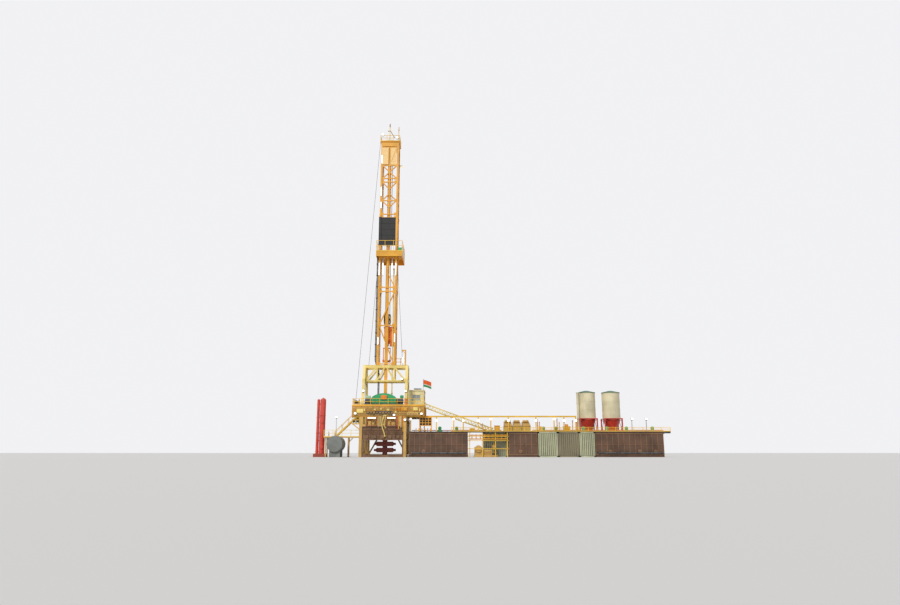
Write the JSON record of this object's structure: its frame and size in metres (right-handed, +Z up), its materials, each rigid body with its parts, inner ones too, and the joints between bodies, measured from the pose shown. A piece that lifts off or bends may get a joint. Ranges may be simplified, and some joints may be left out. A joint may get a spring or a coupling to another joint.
{
  "type": "oil drilling rig, half-size model",
  "caption": "Lattice-mast oil drilling rig with portal base, drill floor, doghouse, stair, gangway, mud tank row and two silos, as a half-size model.",
  "frame": {"origin": "well centre at ground level, on the bottom face of the blowout preventer's flange", "axes": "+X along the tank row, +Y from the drawworks side towards the open front of the mast, +Z up"},
  "size_m": [27.18, 6.28, 27.8],
  "materials": {
    "golden": "satin paint",
    "rail_yellow": "satin paint",
    "pale_yellow": "satin paint",
    "ochre": "worn paint",
    "rust_brown": "worn paint, rusty",
    "deck_steel": "matt, worn",
    "oxide_red": "satin paint",
    "red": "gloss paint",
    "green": "gloss paint",
    "dark_green": "satin paint",
    "black": "matt",
    "orange": "satin paint",
    "cream": "satin paint",
    "grey_green": "worn paint",
    "dark_steel": "satin",
    "galvanised": "galvanised",
    "wire_rope": "greased wire rope"
  },
  "bodies": {
    "rig": {"blowout_preventer": "oxide_red", "substructure_trusses": "ochre", "rear_base_frame": "rust_brown", "front_base_frame": "ochre", "service_bays": "ochre", "floor_beams": "golden", "floor_deck": "deck_steel", "rotary_table": "oxide_red", "rear_floor_rail": "rail_yellow", "side_floor_rails": "rail_yellow", "front_floor_rail": "rail_yellow", "drawworks_cover": "green", "drawworks_skid": "dark_steel", "doghouse_walls": "pale_yellow", "doghouse_floor": "deck_steel", "doghouse_roof": "pale_yellow", "doghouse_door": "green", "flagpole": "galvanised", "portal_side_frames": "pale_yellow", "portal_trusses": "pale_yellow", "mast_lower_sides": "golden", "mast_lower_rear": "golden", "mast_middle_sides": "golden", "mast_middle_rear": "golden", "mast_upper_sides": "golden", "mast_upper_rear": "golden", "windbreak": "black", "racking_board": "golden", "racking_board_rails": "rail_yellow", "crown_frame": "golden", "crown_sheaves": "dark_steel", "crown_rails": "rail_yellow", "top_drive_guide": "golden", "mast_stays": "wire_rope", "left_platforms": "ochre", "platform_rails": "rail_yellow", "hatch_ladder": "rail_yellow", "stair_frames": "rail_yellow", "stair_treads": "galvanised", "separator_vessels": "red", "separator_skid": "oxide_red", "gangway_sides": "pale_yellow", "gangway_deck": "deck_steel", "mud_tanks": "rust_brown", "tank_row_deck": "deck_steel", "tank_row_rail": "rail_yellow", "ribbed_containers": "grey_green", "lamp_beam_frame": "rail_yellow", "shale_shakers": "ochre", "hole_rack": "orange", "light_posts": "galvanised", "round_tank": "dark_steel", "round_tank_ends": "dark_steel", "silo_shells": "cream", "silo_caps": "dark_green", "silo_cones": "red", "silo_legs": "red"},
    "hoist": {"travelling_block": "black", "top_drive": "orange", "drilling_lines": "wire_rope"}
  },
  "joints": [
    {"name": "hoist_travel", "type": "slide", "parent": "rig", "child": "hoist", "axis": [0, 0, 1], "range_m": [-3.1, 14], "deforming": ["drilling_lines"]}
  ]
}
